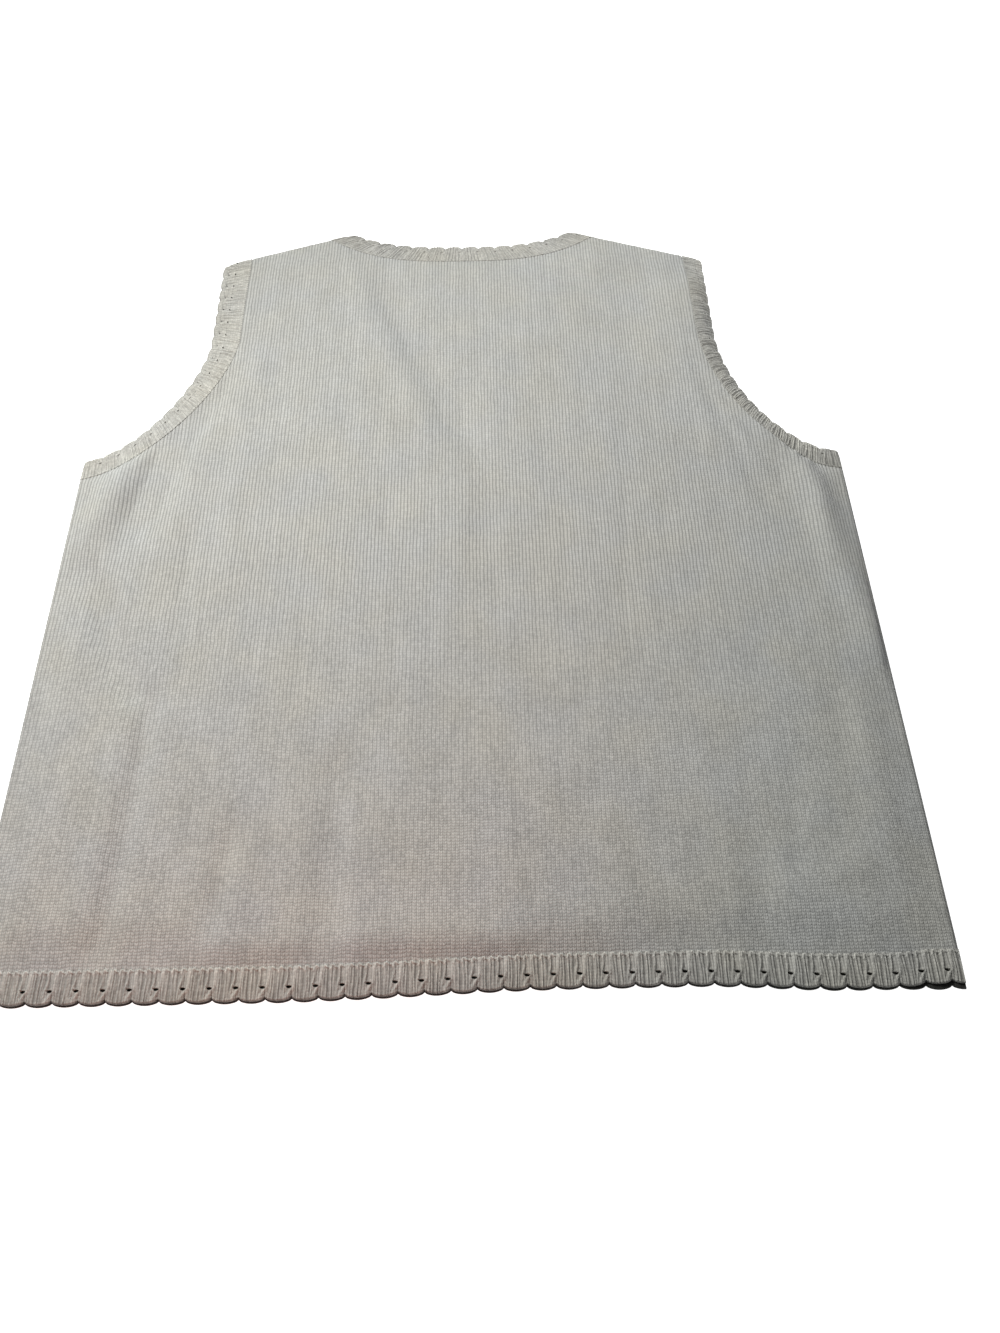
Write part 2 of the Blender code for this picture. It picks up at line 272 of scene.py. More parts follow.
RIGHT_STYLE = ARMHOLE_STYLE._replace(valley_shade=0.60, side_shade=0.24, fade=-0.22)
# Each band's style; the tones and shades set here are painted light and shade
STYLES = {
    "hem_back": HEM_STYLE._replace(tone=0.95),
    "hem_front": HEM_STYLE._replace(top_shade=0.08, rim_start=0.92),
    "left_back": LEFT_STYLE._replace(tone=1.15),
    "left_front": LEFT_STYLE,
    "right_back": RIGHT_STYLE._replace(tone=1.14),
    "right_front": RIGHT_STYLE,
}

# The strands of one scallop: points (u in scallops along the seam, v from seam to edge), half width, height
STRANDS = (
    (((0.175, -0.07), (0.180, 0.50), (0.175, 1.00)), 0.00068, 1.00),  # rib 1
    (((0.290, -0.02), (0.300, 0.50), (0.285, 1.00)), 0.00062, 0.75),
    (((0.490, -0.07), (0.485, 0.50), (0.475, 1.00)), 0.00068, 1.00),  # rib 2
    (((0.600, -0.02), (0.595, 0.50), (0.580, 1.00)), 0.00062, 0.75),
    (((0.825, -0.07), (0.805, 0.30), (0.735, 0.56), (0.700, 0.78), (0.690, 1.00)), 0.00070, 0.95),  # rib 3
    (((0.935, -0.02), (0.955, 0.30), (0.965, 0.51)), 0.00062, 0.75),  # down to the eyelet
    (((0.80, 0.65), (0.98, 0.65)), 0.00210, 0.55),  # round the eyelet
    (((0.925, 0.85), (0.905, 1.00)), 0.00080, 0.70),  # either side of the notch
    (((1.065, 0.64), (1.045, 1.00)), 0.00075, 0.70),
)
LEAF = ((1.075, -0.02), (1.065, 0.43), (1.02, 0.63), (0.91, 0.77), (0.83, 0.88), (0.80, 1.00))
LEAF_HALF_WIDTH = 0.00150
LEAF_HEIGHT = 1.08
STRAND_SPREAD = 1.5

# The arch over each rib's top, and the row of links along the seam
RIB_TOPS = (0.175, 0.490, 0.825)
ARCH = ((-0.050, 0.080), (0.005, -0.055), (0.040, -0.075), (0.110, 0.000))
ARCH_HALF_WIDTH = 0.00070
ARCH_HEIGHT = 1.25
LINK_HEIGHT = 0.80
LINK_PLACE = 0.0001
LINK_HALF_WIDTH = 0.00080

# How the ribs stray from their even places: waves of height, turn along u, turn along v and start
WANDER = ((0.018, 1.7, 0.0, 2.0), (0.016, 4.1, 3.0, 0.0), (0.010, 9.7, -5.0, 0.0))

EYELET_PLACE = (0.885, 0.63)
EYELET_TILT = 0.25

# A band's grid: the columns of a scallop, stretches of rows (start, end, count) and the rows by the edge
SCALLOP_COLUMNS = {"back": 34, "front": 14}
ROW_STRETCHES = {
    "back": ((0.0, 0.16, 9), (0.16, 0.55, 8), (0.55, 0.75, 8), (0.75, 0.95, 7)),
    "front": ((0.0, 0.94, 11),),
}
EDGE_ROWS = {"back": (0.95, 0.97, 0.985, 1.0), "front": (0.94, 0.975, 1.0)}

# A band's tabs over or under the panel, the front's ribs, and the free edge
RIB_TAB_CLEARANCE = 0.00125
FRONT_TAB_HEIGHT = 0.75
FRONT_RIB_DEPTH = 0.6
EDGE_ROUND = 0.0008
EDGE_ROUND_DEPTH = 0.85
EDGE_DROOP = 0.0003
NOTCH_CURL = 0.0005
FRONT_NOTCH_CURL = 0.4
NOTCH_CURL_REACH = 0.0022
NOTCH_CURL_SPAN = (0.55, 1.00)

# A band's shades: painted shade and highlight, and its seam dots and specks
SHADE_EXPONENT = 0.8
PAINTED_HIGHLIGHT_SPAN = (0.9, 1.2)
LEAN_SHADE = 0.06
EDGE_SHADE_MIDDLE = 0.45
UNDERARM_SHADE_REACH = 0.024
SEAM_DOT_REACH = 0.0005
SPECK_ROWS = ((0.62, 62), (0.80, 80))  # share of the width, random seed
SPECK_REACH = 0.00045
NOTCH_SHADE = 0.75
NOTCH_SHADE_REACH = 0.0011
NOTCH_SHADE_SPAN = (0.93, 0.98)
# Painted shadow at the free edges: the dark rim of each underside and of the front, and the back's darker rim
RIM_SHADE = 0.08
BACK_RIM_SHADE = 0.28
BACK_RIM_SPAN = (0.965, 1.0)
UNDER_RIM_SPAN = (0.985, 1.0)
FRONT_RIM_END = 0.985

# --- Yarn

# Each cloth's pale and deep colour, how high it is between its courses, and how light its gaps are,
# as painted shade
Yarn = namedtuple("Yarn", "pale deep course_low gap_shade")
JERSEY = Yarn((0.625, 0.63, 0.61), (0.425, 0.43, 0.418), 0.40, 0.50)
RIB = Yarn((0.65, 0.645, 0.605), (0.44, 0.435, 0.41), 0.65, 0.50)
ROUGHNESS = 0.95
SPECULAR = 0.15
SHEEN = 0.15
SHEEN_ROUGHNESS = 0.6
STITCH_DEPTH = 0.00028
FUZZ_SCALE = 2500.0
FUZZ_DETAIL = 2.0
FUZZ_DEPTH = 0.35

# The knit grows more even up the garment: a pair holds up to the first of these courses, and from the second
CRISP_COURSES = (50.0, 160.0)
CRISPNESS = (0.75, 0.92)  # how far a wale's heights keep from their mean
WALE_MEAN = (0.58, 0.67)
WALE_MIDDLE = (0.35, 0.85)  # how high a wale is between its two legs
STITCH_TONES = (0.75, 0.32)  # how far the tones of single legs differ
CLOUD_DEPTH = (0.36, 0.20)  # how far the soft mottling reaches
UPPER_COURSE_LOW = 0.70
UPPER_GAP_DARKER = 0.03

WALE_EXPONENT = 0.8
WALE_MIDDLE_REACH = 0.35
STITCH_CLIMB = 0.35
STITCH_TOP = 0.9

# Noise over the knit map: scales along u and v, overall scale, detail
WAVER_GRAIN = (0.35, 0.12, 1.0, 2.0)
YARN_GRAIN = (0.45, 1.0, 0.8, 2.0)
STRIPE_GRAIN = (0.7, 0.02, 1.0, 3.0)
CLOUD_GRAIN = (0.12, 0.055, 1.0, 3.0)
NOISE_SPAN = (0.3, 0.7)
WAVER_ACROSS = 0.12
WAVER_UP = 0.3
YARN_TONES = (-0.08, 0.16)
STRIPE_TONES = (-0.06, 0.19)
CLOUD_TONE = 0.11
TINT_SCALE = 26.0
TINT_DETAIL = 3.0
TINT_SPAN = (0.35, 0.65)
COOL = (0.990, 0.998, 1.010)
WARM = (1.012, 1.003, 0.972)

# --- Studio

FLOOR_SIZE = 8.0
FLOOR_DROP = 0.0003
FLOOR_GREY = 0.93
FLOOR_GLOW = 0.95
WORLD_STRENGTH = 0.11

# Each light's size, energy, colour, place and aim
KEY = (0.30, 9.0, (1.0, 1.0, 0.965), (-0.44, 0.30, 0.58), (1.617, -3.061, 0.0))
TOP_FILL = (0.30, 1.98, (0.998, 1.0, 0.988), (0.113, 0.494, 0.50), (0.349, -0.041, 0.0))
WARM_FILL = (0.08, 1.50, (1.0, 0.40, 0.28), (-0.112, -0.54, 0.24), (-0.112, -0.22, 0.0))
WARM_FILL_ANGLE = math.radians(60.0)
WARM_FILL_BLEND = 0.25

# The camera that took the photo: metres, degrees and the photo's pixels
CAMERA_X = 0.0148
CAMERA_Y = -0.1450
CAMERA_HEIGHT = 0.5525
CAMERA_PITCH = 58.478
CAMERA_TURN = -1.152
CAMERA_FOCAL_PIXELS = 1100.0
CAMERA_FRAME_HEIGHT_PIXELS = 1333.0
CAMERA_CLIP_START = 0.01


def smooth(t):
    """Rises softly from 0 to 1 while t does, and stays there."""
    t = np.clip(t, 0.0, 1.0)
    return t * t * (3.0 - 2.0 * t)


def smooth_over(value, span):
    """Rises softly from 0 at the start of a span to 1 at its end."""
    return smooth((value - span[0]) / (span[1] - span[0]))


def bell(value):
    """1 at 0, and falling away softly on both sides."""
    return np.exp(-(value**2))


def at_shares(path, shares):
    """Points at shares of the length of a dense path."""
    lengths = np.linalg.norm(np.diff(path, axis=0), axis=1)
    along = np.concatenate([[0.0], np.cumsum(lengths)])
    return np.stack([np.interp(shares * along[-1], along, path[:, axis]) for axis in range(2)], axis=1)


def evenly(path, count):
    """count + 1 points at equal steps along a dense path."""
    return at_shares(path, np.linspace(0.0, 1.0, count + 1))


def path_length(path):
    return float(np.linalg.norm(np.diff(path, axis=0), axis=1).sum())


# --- Seams and free edges, seen from above


def shoulder_y(x):
    return SHOULDER_NECK_Y - SHOULDER_FALL * (np.abs(x) - NECK_HALF_WIDTH)


def hem_rise(layer, x):
    """The hem steps up towards the right and falls back; at its right corner the front peeks out."""
    rise = HEM_RISE * smooth((x - HEM_RISE_START_X) / HEM_RISE_LENGTH)
    fall = HEM_FALL[layer] * smooth((x - HEM_FALL_START_X) / HEM_FALL_LENGTH)
    corner = HEM_CORNER[layer] * smooth((x - HEM_CORNER_START_X) / HEM_CORNER_LENGTH)
    return rise - fall + corner


def hem_line(layer, height):
    x = np.linspace(-HALF_WIDTH, HALF_WIDTH, HEM_LINE_POINTS)
    return np.stack([x, height + hem_rise(layer, x)], axis=1)


def armhole_line(armhole, free_edge):
    """From the side seam round to the shoulder: a quarter of a superellipse, then straight up."""
    seam_x, edge_x, exponent = ARMHOLES[armhole]
    inner_x = edge_x if free_edge else seam_x
    base_y = UNDERARM_Y + (UNDERARM_BAND if free_edge else 0.0)
    turn = np.linspace(0.0, math.pi / 2, ARMHOLE_LINE_POINTS)
    across = np.sin(turn) ** (2.0 / exponent)
    down = np.cos(turn) ** (2.0 / exponent)
    side = math.copysign(1.0, seam_x)
    x = side * (HALF_WIDTH - (HALF_WIDTH - abs(inner_x)) * across)
    y = CURVE_TOP_Y - (CURVE_TOP_Y - base_y) * down
    top = (inner_x, shoulder_y(inner_x))
    return np.vstack([np.stack([x, y], axis=1), top])


def back_neck_line(free_edge):
    half = NECK_HALF_WIDTH - (TRIM_WIDTH if free_edge else 0.0)
    dip = BACK_NECK_EDGE_DIP if free_edge else BACK_NECK_DIP
    x = np.linspace(-half, half, BACK_NECK_LINE_POINTS)
    y = shoulder_y(half) - dip * (1.0 - (np.abs(x) / half) ** BACK_NECK_ROUNDNESS)
    return np.stack([x, y], axis=1)


def front_neck_line(free_edge):
    """A V: each side is a parabola that leaves the shoulder straight down."""
    half = NECK_HALF_WIDTH - (TRIM_WIDTH if free_edge else 0.0)
    bend_y = V_EDGE_BEND_Y if free_edge else V_SEAM_BEND_Y
    apex_y = V_EDGE_APEX_Y if free_edge else V_SEAM_APEX_Y
    t = np.linspace(0.0, 1.0, V_LINE_POINTS)
    x = half * (1.0 - t**2)
    y = shoulder_y(half) * (1.0 - t) ** 2 + 2.0 * bend_y * t * (1.0 - t) + apex_y * t**2
    left = np.stack([-x, y], axis=1)
    right = np.stack([x, y], axis=1)[-2::-1]
    return np.vstack([left, right])


def neck_line(layer, free_edge):
    return back_neck_line(free_edge) if layer == "back" else front_neck_line(free_edge)


# --- How high the back lies


def distance_to(paths, x, y):
    """How far each point lies from the nearest of some lines."""
    points = np.vstack([evenly(path, max(2, int(path_length(path) / DISTANCE_STEP))) for path in paths])
    tree = KDTree(len(points))
    for index, (px, py) in enumerate(points):
        tree.insert((px, py, 0.0), index)
    tree.balance()
    near = [tree.find((px, py, 0.0))[2] for px, py in zip(x.ravel(), y.ravel())]
    return np.array(near).reshape(x.shape)


def share_along(path, x, y):
    """The share of a line's length at which each point lies nearest to it."""
    points = evenly(path, SHARE_STEPS)
    gaps = np.hypot(x[..., None] - points[:, 0], y[..., None] - points[:, 1])
    return gaps.argmin(axis=-1) / SHARE_STEPS


def fold_height(x, y):
    """The sum of the folds, each fading out across its width and towards both its ends."""
    total = np.zeros_like(x)
    for x0, y0, x1, y1, half_width, height in FOLDS:
        length = math.hypot(x1 - x0, y1 - y0)
        along = ((x - x0) * (x1 - x0) + (y - y0) * (y1 - y0)) / length**2
        aside = ((x - x0) * (y1 - y0) - (y - y0) * (x1 - x0)) / length
        past_end = np.maximum(np.maximum(-along, along - 1.0), 0.0) * length
        total += height * np.exp(-((aside / half_width) ** 2) - (past_end / (2.0 * half_width)) ** 2)
    return total


def armhole_lift(armhole, x, y):
    """The edge of the back stands up along an armhole, but not at the underarm or the shoulder."""
    seam = armhole_line(armhole, False)
    share = share_along(seam, x, y)
    rise = smooth_over(share, ARMHOLE_LIFT_RISE)
    fall = 1.0 - smooth_over(share, ARMHOLE_LIFT_FALL)
    return ARMHOLE_LIFT[armhole] * rise * fall * bell(distance_to([seam], x, y) / ARMHOLE_LIFT_REACH)


def seam_lines(layer):
    """The seams that join a panel to its bands."""
    armholes = [armhole_line(f"{side}_{layer}", False) for side in ("left", "right")]
    return [hem_line(layer, HEM_BAND), *armholes, neck_line(layer, False)]


def outer_lines():
    """The side seams and the shoulder seams."""
    sides = [np.array([(side * HALF_WIDTH, 0.0), (side * HALF_WIDTH, UNDERARM_Y)]) for side in (-1, 1)]
    widths = np.array([NECK_HALF_WIDTH, SHOULDER_END_X])
    shoulders = [np.stack([side * widths, shoulder_y(widths)], axis=1) for side in (-1, 1)]
    return sides + shoulders


def back_height(x, y):
    """The height of the underside of the back, above the surface that the vest lies on."""
    inside = smooth(distance_to(seam_lines("back") + outer_lines(), x, y) / LOFT_FADE)
    soft = LOFT * inside + fold_height(x, y) * smooth(inside * FOLD_GRIP)
    soft += armhole_lift("left_back", x, y) + armhole_lift("right_back", x, y)
    v_edge = front_neck_line(True)
    left_arm = v_edge[len(v_edge) // 2 :: -1]
    hole_half = np.interp(y, left_arm[:, 1], -left_arm[:, 0], left=-math.inf)
    sag = NECK_SAG * smooth((hole_half - np.abs(x)) / NECK_SAG_FADE) * inside
    return REST + np.maximum(soft, 0.0) - sag


# --- Walls of cloth


def curled(layer, x, y, upper, lower):
    """Both heights, turned towards the other layer at the side and shoulder seams."""
    from_side = HALF_WIDTH - np.abs(x)
    from_shoulder = (shoulder_y(x) - y) * math.cos(SHOULDER_ANGLE)
    share = np.clip(np.minimum(from_side, from_shoulder) / CURL_REACH, 0.0, 1.0)
    turn = 1.0 - np.sqrt(1.0 - (1.0 - share) ** 2)
    if layer == "back":
        return upper - CURL_BACK_TOP * turn, lower - CURL_BACK_UNDER * turn
    return upper + CURL_FRONT_TOP * turn, lower + CURL_FRONT_UNDER * turn


def wall(name, flat, faces, upper, lower, knit, shades, material):
    """One closed wall: the faces over the upper heights, again under the lower heights, and a rim between.

    knit is each point's place in the knit, in wales and courses. shades holds how light each upper and each
    lower point is, mostly painted shade and light, such as painted shade for what lies deep between the ribs.
    """
    count = len(flat)
    points = np.concatenate([np.column_stack([flat, upper]), np.column_stack([flat, lower])])
    points[:, 1] += FOOT_Y
    edges = dict.fromkeys(edge for face in faces for edge in zip(face, face[1:] + face[:1]))
    rim = [(end, start, start + count, end + count) for start, end in edges if (end, start) not in edges]
    under = [tuple(index + count for index in reversed(face)) for face in faces]
    mesh = bpy.data.meshes.new(name)
    mesh.from_pydata(points.tolist(), [], faces + under + rim)
    knit_map_layer = mesh.uv_layers.new(name="knit")
    corners = np.empty(len(mesh.loops), dtype=np.int32)
    mesh.loops.foreach_get("vertex_index", corners)
    both = np.concatenate([knit, knit]).astype(np.float32)
    knit_map_layer.uv.foreach_set("vector", both[corners].ravel())
    shade_layer = mesh.attributes.new(name="shade", type="FLOAT", domain="POINT")
    shade_layer.data.foreach_set("value", np.concatenate(shades).astype(np.float32))
    mesh.materials.append(material)
    mesh.shade_smooth()
    mesh.set_sharp_from_angle(angle=SHARP_ANGLE)
    mesh.validate()
    piece = bpy.data.objects.new(name, mesh)
    bpy.context.scene.collection.objects.link(piece)
    return piece


def dress(piece, node):
    """Hangs a piece under the root body and hides the solid of the node that it stands for."""
    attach(piece, "root")
    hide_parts(node)


# --- Panels: a grid of wales, cut along the panel's outline


def inside_panel(layer):
    """A function of (x, y) that is positive inside a panel's outline."""
    neck = neck_line(layer, False)
    armholes = {side: armhole_line(f"{side}_{layer}", False) for side in ("left", "right")}

    def inside(x, y):
        reach = np.where(
            x < 0,
            np.interp(y, armholes["left"][:, 1], -armholes["left"][:, 0]),
            np.interp(y, armholes["right"][:, 1], armholes["right"][:, 0]),
        )
        value = np.minimum(y - HEM_BAND - hem_rise(layer, x), reach - np.abs(x))
        value = np.minimum(value, shoulder_y(x) - y)
        neck_y = np.interp(x, neck[:, 0], neck[:, 1], left=math.inf, right=math.inf)
        return np.minimum(value, neck_y - y)

    return inside


def crossings(inside, x0, y0, x1, y1):
    """Where the outline crosses the edges between inner points (x0, y0) and outer points (x1, y1)."""
    near, far = np.zeros_like(x0), np.ones_like(x0)
    for _ in range(CUT_HALVINGS):
        middle = (near + far) / 2
        within = inside(x0 + (x1 - x0) * middle, y0 + (y1 - y0) * middle) >= 0.0
        near, far = np.where(within, middle, near), np.where(within, far, middle)
    return near


def trimmed_grid(xs, ys, inside):
    """The points and faces of the part of a grid inside an outline, cut along the outline.

    The cuts lie on the grid's edges, first on those along its rows, then on those up its columns.
    """
    x, y = np.meshgrid(xs, ys)
    within = inside(x, y) >= ON_OUTLINE
    index = np.full(x.shape, -1)
    index[within] = np.arange(within.sum())
    points = [np.stack([x[within], y[within]], axis=1)]
    total = len(points[0])
    cuts = []
    for step_j, step_i in ((0, 1), (1, 0)):
        rows, columns = x.shape[0] - step_j, x.shape[1] - step_i
        first = within[:rows, :columns]
        second = within[step_j:, step_i:]
        cut = np.full((rows, columns), -1)
        j, i = np.nonzero(first != second)
        keep = first[j, i]
        inner = (np.where(keep, j, j + step_j), np.where(keep, i, i + step_i))
        outer = (np.where(keep, j + step_j, j), np.where(keep, i + step_i, i))
        share = crossings(inside, x[inner], y[inner], x[outer], y[outer])
        made = share >= CUT_SNAP
        cut[j[~made], i[~made]] = index[inner][~made]
        cut[j[made], i[made]] = total + np.arange(made.sum())
        total += int(made.sum())
        share = share[made]
        inner, outer = (tuple(axis[made] for axis in pair) for pair in (inner, outer))
        cut_x = x[inner] + (x[outer] - x[inner]) * share
        cut_y = y[inner] + (y[outer] - y[inner]) * share
        points.append(np.stack([cut_x, cut_y], axis=1))
        cuts.append(cut)
    return np.concatenate(points), grid_faces(within, index, *cuts)


def grid_faces(within, index, across, along):
    """The whole squares of a grid, then what its outline leaves of the squares that it cuts."""
    corners = within[:-1, :-1].astype(int) + within[1:, :-1] + within[:-1, 1:] + within[1:, 1:]
    j, i = np.nonzero(corners == 4)
    faces = np.stack([index[j, i], index[j, i + 1], index[j + 1, i + 1], index[j + 1, i]], axis=1).tolist()
    for j, i in zip(*np.nonzero((corners > 0) & (corners < 4))):
        ring = (
            (index[j, i], across[j, i]),
            (index[j, i + 1], along[j, i + 1]),
            (index[j + 1, i + 1], across[j + 1, i]),
            (index[j + 1, i], along[j, i]),
        )
        face = []
        for corner, cut in ring:
            face += [point for point in (int(corner), int(cut)) if point >= 0]
        face = [point for place, point in enumerate(face) if point != face[place - 1]]
        if len(face) > 2:
            faces.append(face)
    return faces


def wale_relief(x):
    """The ridge of each wale, from 0 in the grooves between wales."""
    return RIDGE * np.sin(math.pi * (((x + HALF_WIDTH) / WALE) % 1.0))


def panel(layer, material):
    """The back or the front, with its wales in its heights."""
    xs = np.linspace(-HALF_WIDTH, HALF_WIDTH, WALES * COLUMNS_PER_WALE + 1)
    ys = np.arange(HEM_BAND - PANEL_ROW / 2, SHOULDER_NECK_Y + PANEL_ROW, PANEL_ROW)
    flat, faces = trimmed_grid(xs, ys, inside_panel(layer))
    x, y = flat.T
    dip = SEAM_DIP * smooth(1.0 - distance_to(seam_lines(layer), x, y) / SEAM_DIP_REACH)
    if layer == "back":
        base = back_height(x, y)
        upper = base + WALL - dip + wale_relief(x)
        lower = base + WALL - CLOTH
    else:
        upper = FRONT_TOP - dip * FRONT_SEAM_DIP
        lower = RIDGE - wale_relief(x)
    upper, lower = curled(layer, x, y, upper, lower)
    knit = np.stack([(x + HALF_WIDTH) / WALE, y / COURSE], axis=1)
    # Painted shade along the side seams, where the cloth curls under
    by_side = smooth(1.0 - (HALF_WIDTH - np.abs(x)) / SIDE_SHADE_REACH)
    light = 1.0 - np.where(x < 0.0, *SIDE_SHADES) * by_side
    piece = wall(layer + "_jersey", flat, faces, upper, lower, knit, (light, light), material)
    dress(piece, layer + "_panel")


# --- Bands: one scallop's strands, eyelet and edge, repeated along a seam


def along_strand(u, v, pitch, width, points, half_width):
    """How far each point lies from a strand or from its copies in the next scallops, in its half widths."""
    gap = np.full_like(u, math.inf)
    for shift in (-1.0, 0.0, 1.0):
        for (u0, v0), (u1, v1) in zip(points, points[1:]):
            ax, ay = (u - u0 - shift) * pitch, (v - v0) * width
            bx, by = (u1 - u0) * pitch, (v1 - v0) * width
            share = np.clip((ax * bx + ay * by) / (bx * bx + by * by), 0.0, 1.0)
            gap = np.minimum(gap, np.hypot(ax - bx * share, ay - by * share))
    return gap / half_width


def rounded(aside):
    """The soft profile of a strand, from 1 along its middle to 0 where it is spread out."""
    return 0.5 + 0.5 * np.cos(math.pi * np.clip(aside / STRAND_SPREAD, -1.0, 1.0))


def wander(u, v):
    """How far the ribs stray from their even places, in scallops."""
    return sum(height * np.sin(by_u * u + by_v * v + start) for height, by_u, by_v, start in WANDER)


def in_scallop(u, layer, style):
    """The place in the scallop's pattern, which the front layer shows from its other side."""
    place = (u + style.phase) % 1.0
    return place if layer == "back" else 1.0 - place


def strand_relief(u, v, pitch, width, leaf, arches=False):
    """The tallest strand over each point of a scallop, as a share of the ribs' height."""
    relief = np.zeros_like(u)
    for points, half_width, height in (*STRANDS, (LEAF, LEAF_HALF_WIDTH, LEAF_HEIGHT * leaf)):
        aside = along_strand(u, v, pitch, width, points, half_width)
        relief = np.maximum(relief, height * rounded(aside))
    aside = (v * width - LINK_PLACE) / LINK_HALF_WIDTH
    relief = np.maximum(relief, LINK_HEIGHT * rounded(aside))
    for top in RIB_TOPS if arches else ():
        points = [(top + arch_u, arch_v) for arch_u, arch_v in ARCH]
        aside = along_strand(u, v, pitch, width, points, ARCH_HALF_WIDTH)
        relief = np.maximum(relief, ARCH_HEIGHT * rounded(aside))
    return relief


def row_shares(layer):
    """Shares from the tab to the free edge, closer together where the back has its seam, eyelet and edge."""
    rows = [np.linspace(start, end, count, endpoint=False) for start, end, count in ROW_STRETCHES[layer]]
    return np.concatenate([*rows, EDGE_ROWS[layer]])


def band_grid(place, layer, style, pitch, width):
    """A band's points in scallops along the seam (u) and from seam to free edge (v), and its holes."""
    shares = row_shares(layer)
    pattern = in_scallop(place + wander(place, 0.0), layer, style)
    rib_tops = strand_relief(pattern, np.zeros_like(place), pitch, width, style.leaf)
    tab = -(style.valley_tab + (style.rib_tab - style.valley_tab) * rib_tops) / width
    u = np.broadcast_to(place, (len(shares), len(place))).copy()
    v = tab + (1.0 - tab) * shares[:, None]
    hole = np.zeros((len(shares) - 1, len(place) - 1), dtype=bool)
    open_eyelets(u, v, hole, shares, layer, style, pitch, width)
    return u, v, hole


def open_eyelets(u, v, hole, shares, layer, style, pitch, width):
    """Takes each eyelet's faces out of the grid, and moves the points round them onto an ellipse."""
    columns = SCALLOP_COLUMNS[layer]
    mirrored = layer == "front"
    place_u, place_v = EYELET_PLACE
    start_u = ((1.0 - place_u if mirrored else place_u) - style.phase) % 1.0
    tilt = -EYELET_TILT if mirrored else EYELET_TILT
    half_u = 0.5 * style.eyelet[0]
    half_v = 0.5 * style.eyelet[1] / width
    across = max(2, round(style.eyelet[0] / (pitch / columns)))
    first_column = round(start_u * columns - across / 2)
    first_row = int(np.abs(shares - (place_v - half_v)).argmin())
    last_row = max(first_row + 2, int(np.abs(shares - (place_v + half_v)).argmin()))
    up = last_row - first_row
    middle_v = v[first_row : last_row + 1].mean()
    for start in range(first_column, hole.shape[1], columns):
        if start < 0 or start + across > hole.shape[1]:
            continue
        hole[first_row:last_row, start : start + across] = True
        middle_u = (start - first_column) // columns + start_u
        for j in range(up + 1):
            for i in range(across + 1):
                if 0 < j < up and 0 < i < across:
                    continue
                turn = math.atan2(j / up - 0.5, i / across - 0.5)
                at = first_row + j, start + i
                u[at] = middle_u + half_u / pitch * math.cos(turn)
                v[at] = middle_v + half_v * math.sin(turn)
                v[at] += tilt * half_u / width * math.cos(turn)


# A band's points: their places in its pattern (u, v) and in the garment (x, y), a scallop's pitch and the
# band's width, how tall the ribs are, how far the seam is lifted, how steeply the band leans from it, and how
# far away the nearest notch is
BandPoints = namedtuple("BandPoints", "u v x y pitch width relief lift lean from_notch")


def band_heights(points, layer, style):
    """The heights of a band's upper and lower side."""
    on_tab = points.v < 0.0
    below = np.clip(points.v, 0.0, 1.0)
    to_edge = (1.0 - points.v) * points.width
    rounding = 1.0 - np.sqrt(1.0 - (1.0 - np.clip(to_edge / EDGE_ROUND, 0.0, 1.0)) ** 2)
    notch_curl = NOTCH_CURL * bell(points.from_notch / NOTCH_CURL_REACH)
    notch_curl = notch_curl * smooth_over(points.v, NOTCH_CURL_SPAN)
    if layer == "back":
        rest = REST + points.lift * (1.0 - below**2) - EDGE_DROOP * below**2
        slope = np.sqrt(1.0 + points.lean**2)
        upper = rest + (style.floor + style.relief * points.relief) * slope - notch_curl
        lower = rest + np.where(on_tab, RIB_TAB_CLEARANCE, 0.0)
    else:
        valleys = FRONT_RIB_DEPTH * style.relief * (1.0 - points.relief) * (1.0 - rounding)
        upper = FRONT_TOP - FRONT_NOTCH_CURL * notch_curl
        lower = np.where(on_tab, FRONT_TOP * FRONT_TAB_HEIGHT, valleys)
    upper = lower + (upper - lower) * (1.0 - EDGE_ROUND_DEPTH * rounding)
    upper = np.maximum(upper, lower + THINNEST_EDGE)
    return curled(layer, points.x, points.y, upper, lower)


